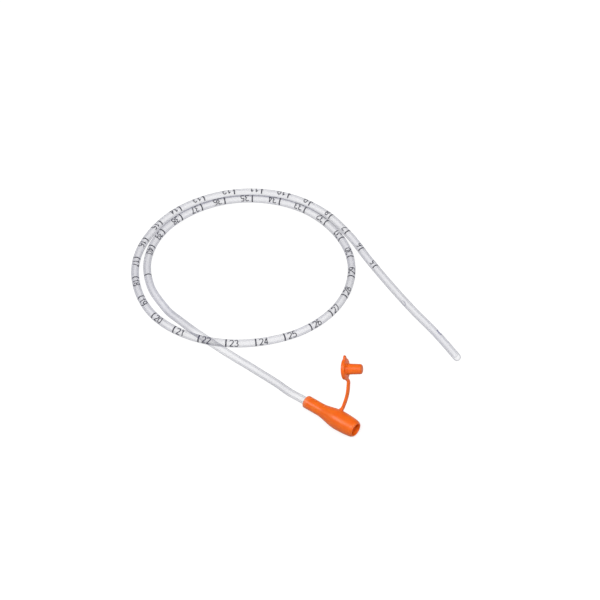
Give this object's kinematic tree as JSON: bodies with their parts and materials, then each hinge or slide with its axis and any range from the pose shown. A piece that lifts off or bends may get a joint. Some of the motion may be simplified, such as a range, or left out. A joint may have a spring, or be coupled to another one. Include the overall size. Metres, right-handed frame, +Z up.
{
  "type": "infant feeding tube",
  "caption": "Soft clear feeding tube in two loose turns, with a closed tip, centimetre marks and an orange funnel connector with a tethered plug cap.",
  "frame": {"origin": "on the ground, under the middle of the box round the connector, its strap and its cap", "axes": "+X along the connector's axis, out of its mouth; +Z up; +Y the narrow way across connector and cap"},
  "size_m": [0.1265, 0.084, 0.0227],
  "materials": {
    "clear_tube": "clear soft plastic, smooth and glossy, faintly grey",
    "orange_moulding": "semi-gloss orange moulding, slightly translucent"
  },
  "bodies": {
    "connector": {"funnel_connector": "orange_moulding", "feeding_tube": "clear_tube"},
    "strap": {"cap_strap": "orange_moulding"},
    "cap": {"closure_cap": "orange_moulding"}
  },
  "joints": [
    {"name": "strap_bend", "type": "hinge", "parent": "connector", "child": "strap", "pos_m": [0.00245, -0.00092, 0.00679], "axis": [0.0319, 0.8681, -0.4954], "range_deg": [0, 104.4], "stiffness_Nm_per_rad": 0.0003},
    {"name": "cap_bend", "type": "hinge", "parent": "strap", "child": "cap", "pos_m": [0.00101, 0.00339, 0.01425], "axis": [0.0131, 0.7393, -0.6733], "range_deg": [0, 102.3], "stiffness_Nm_per_rad": 0.0003}
  ]
}
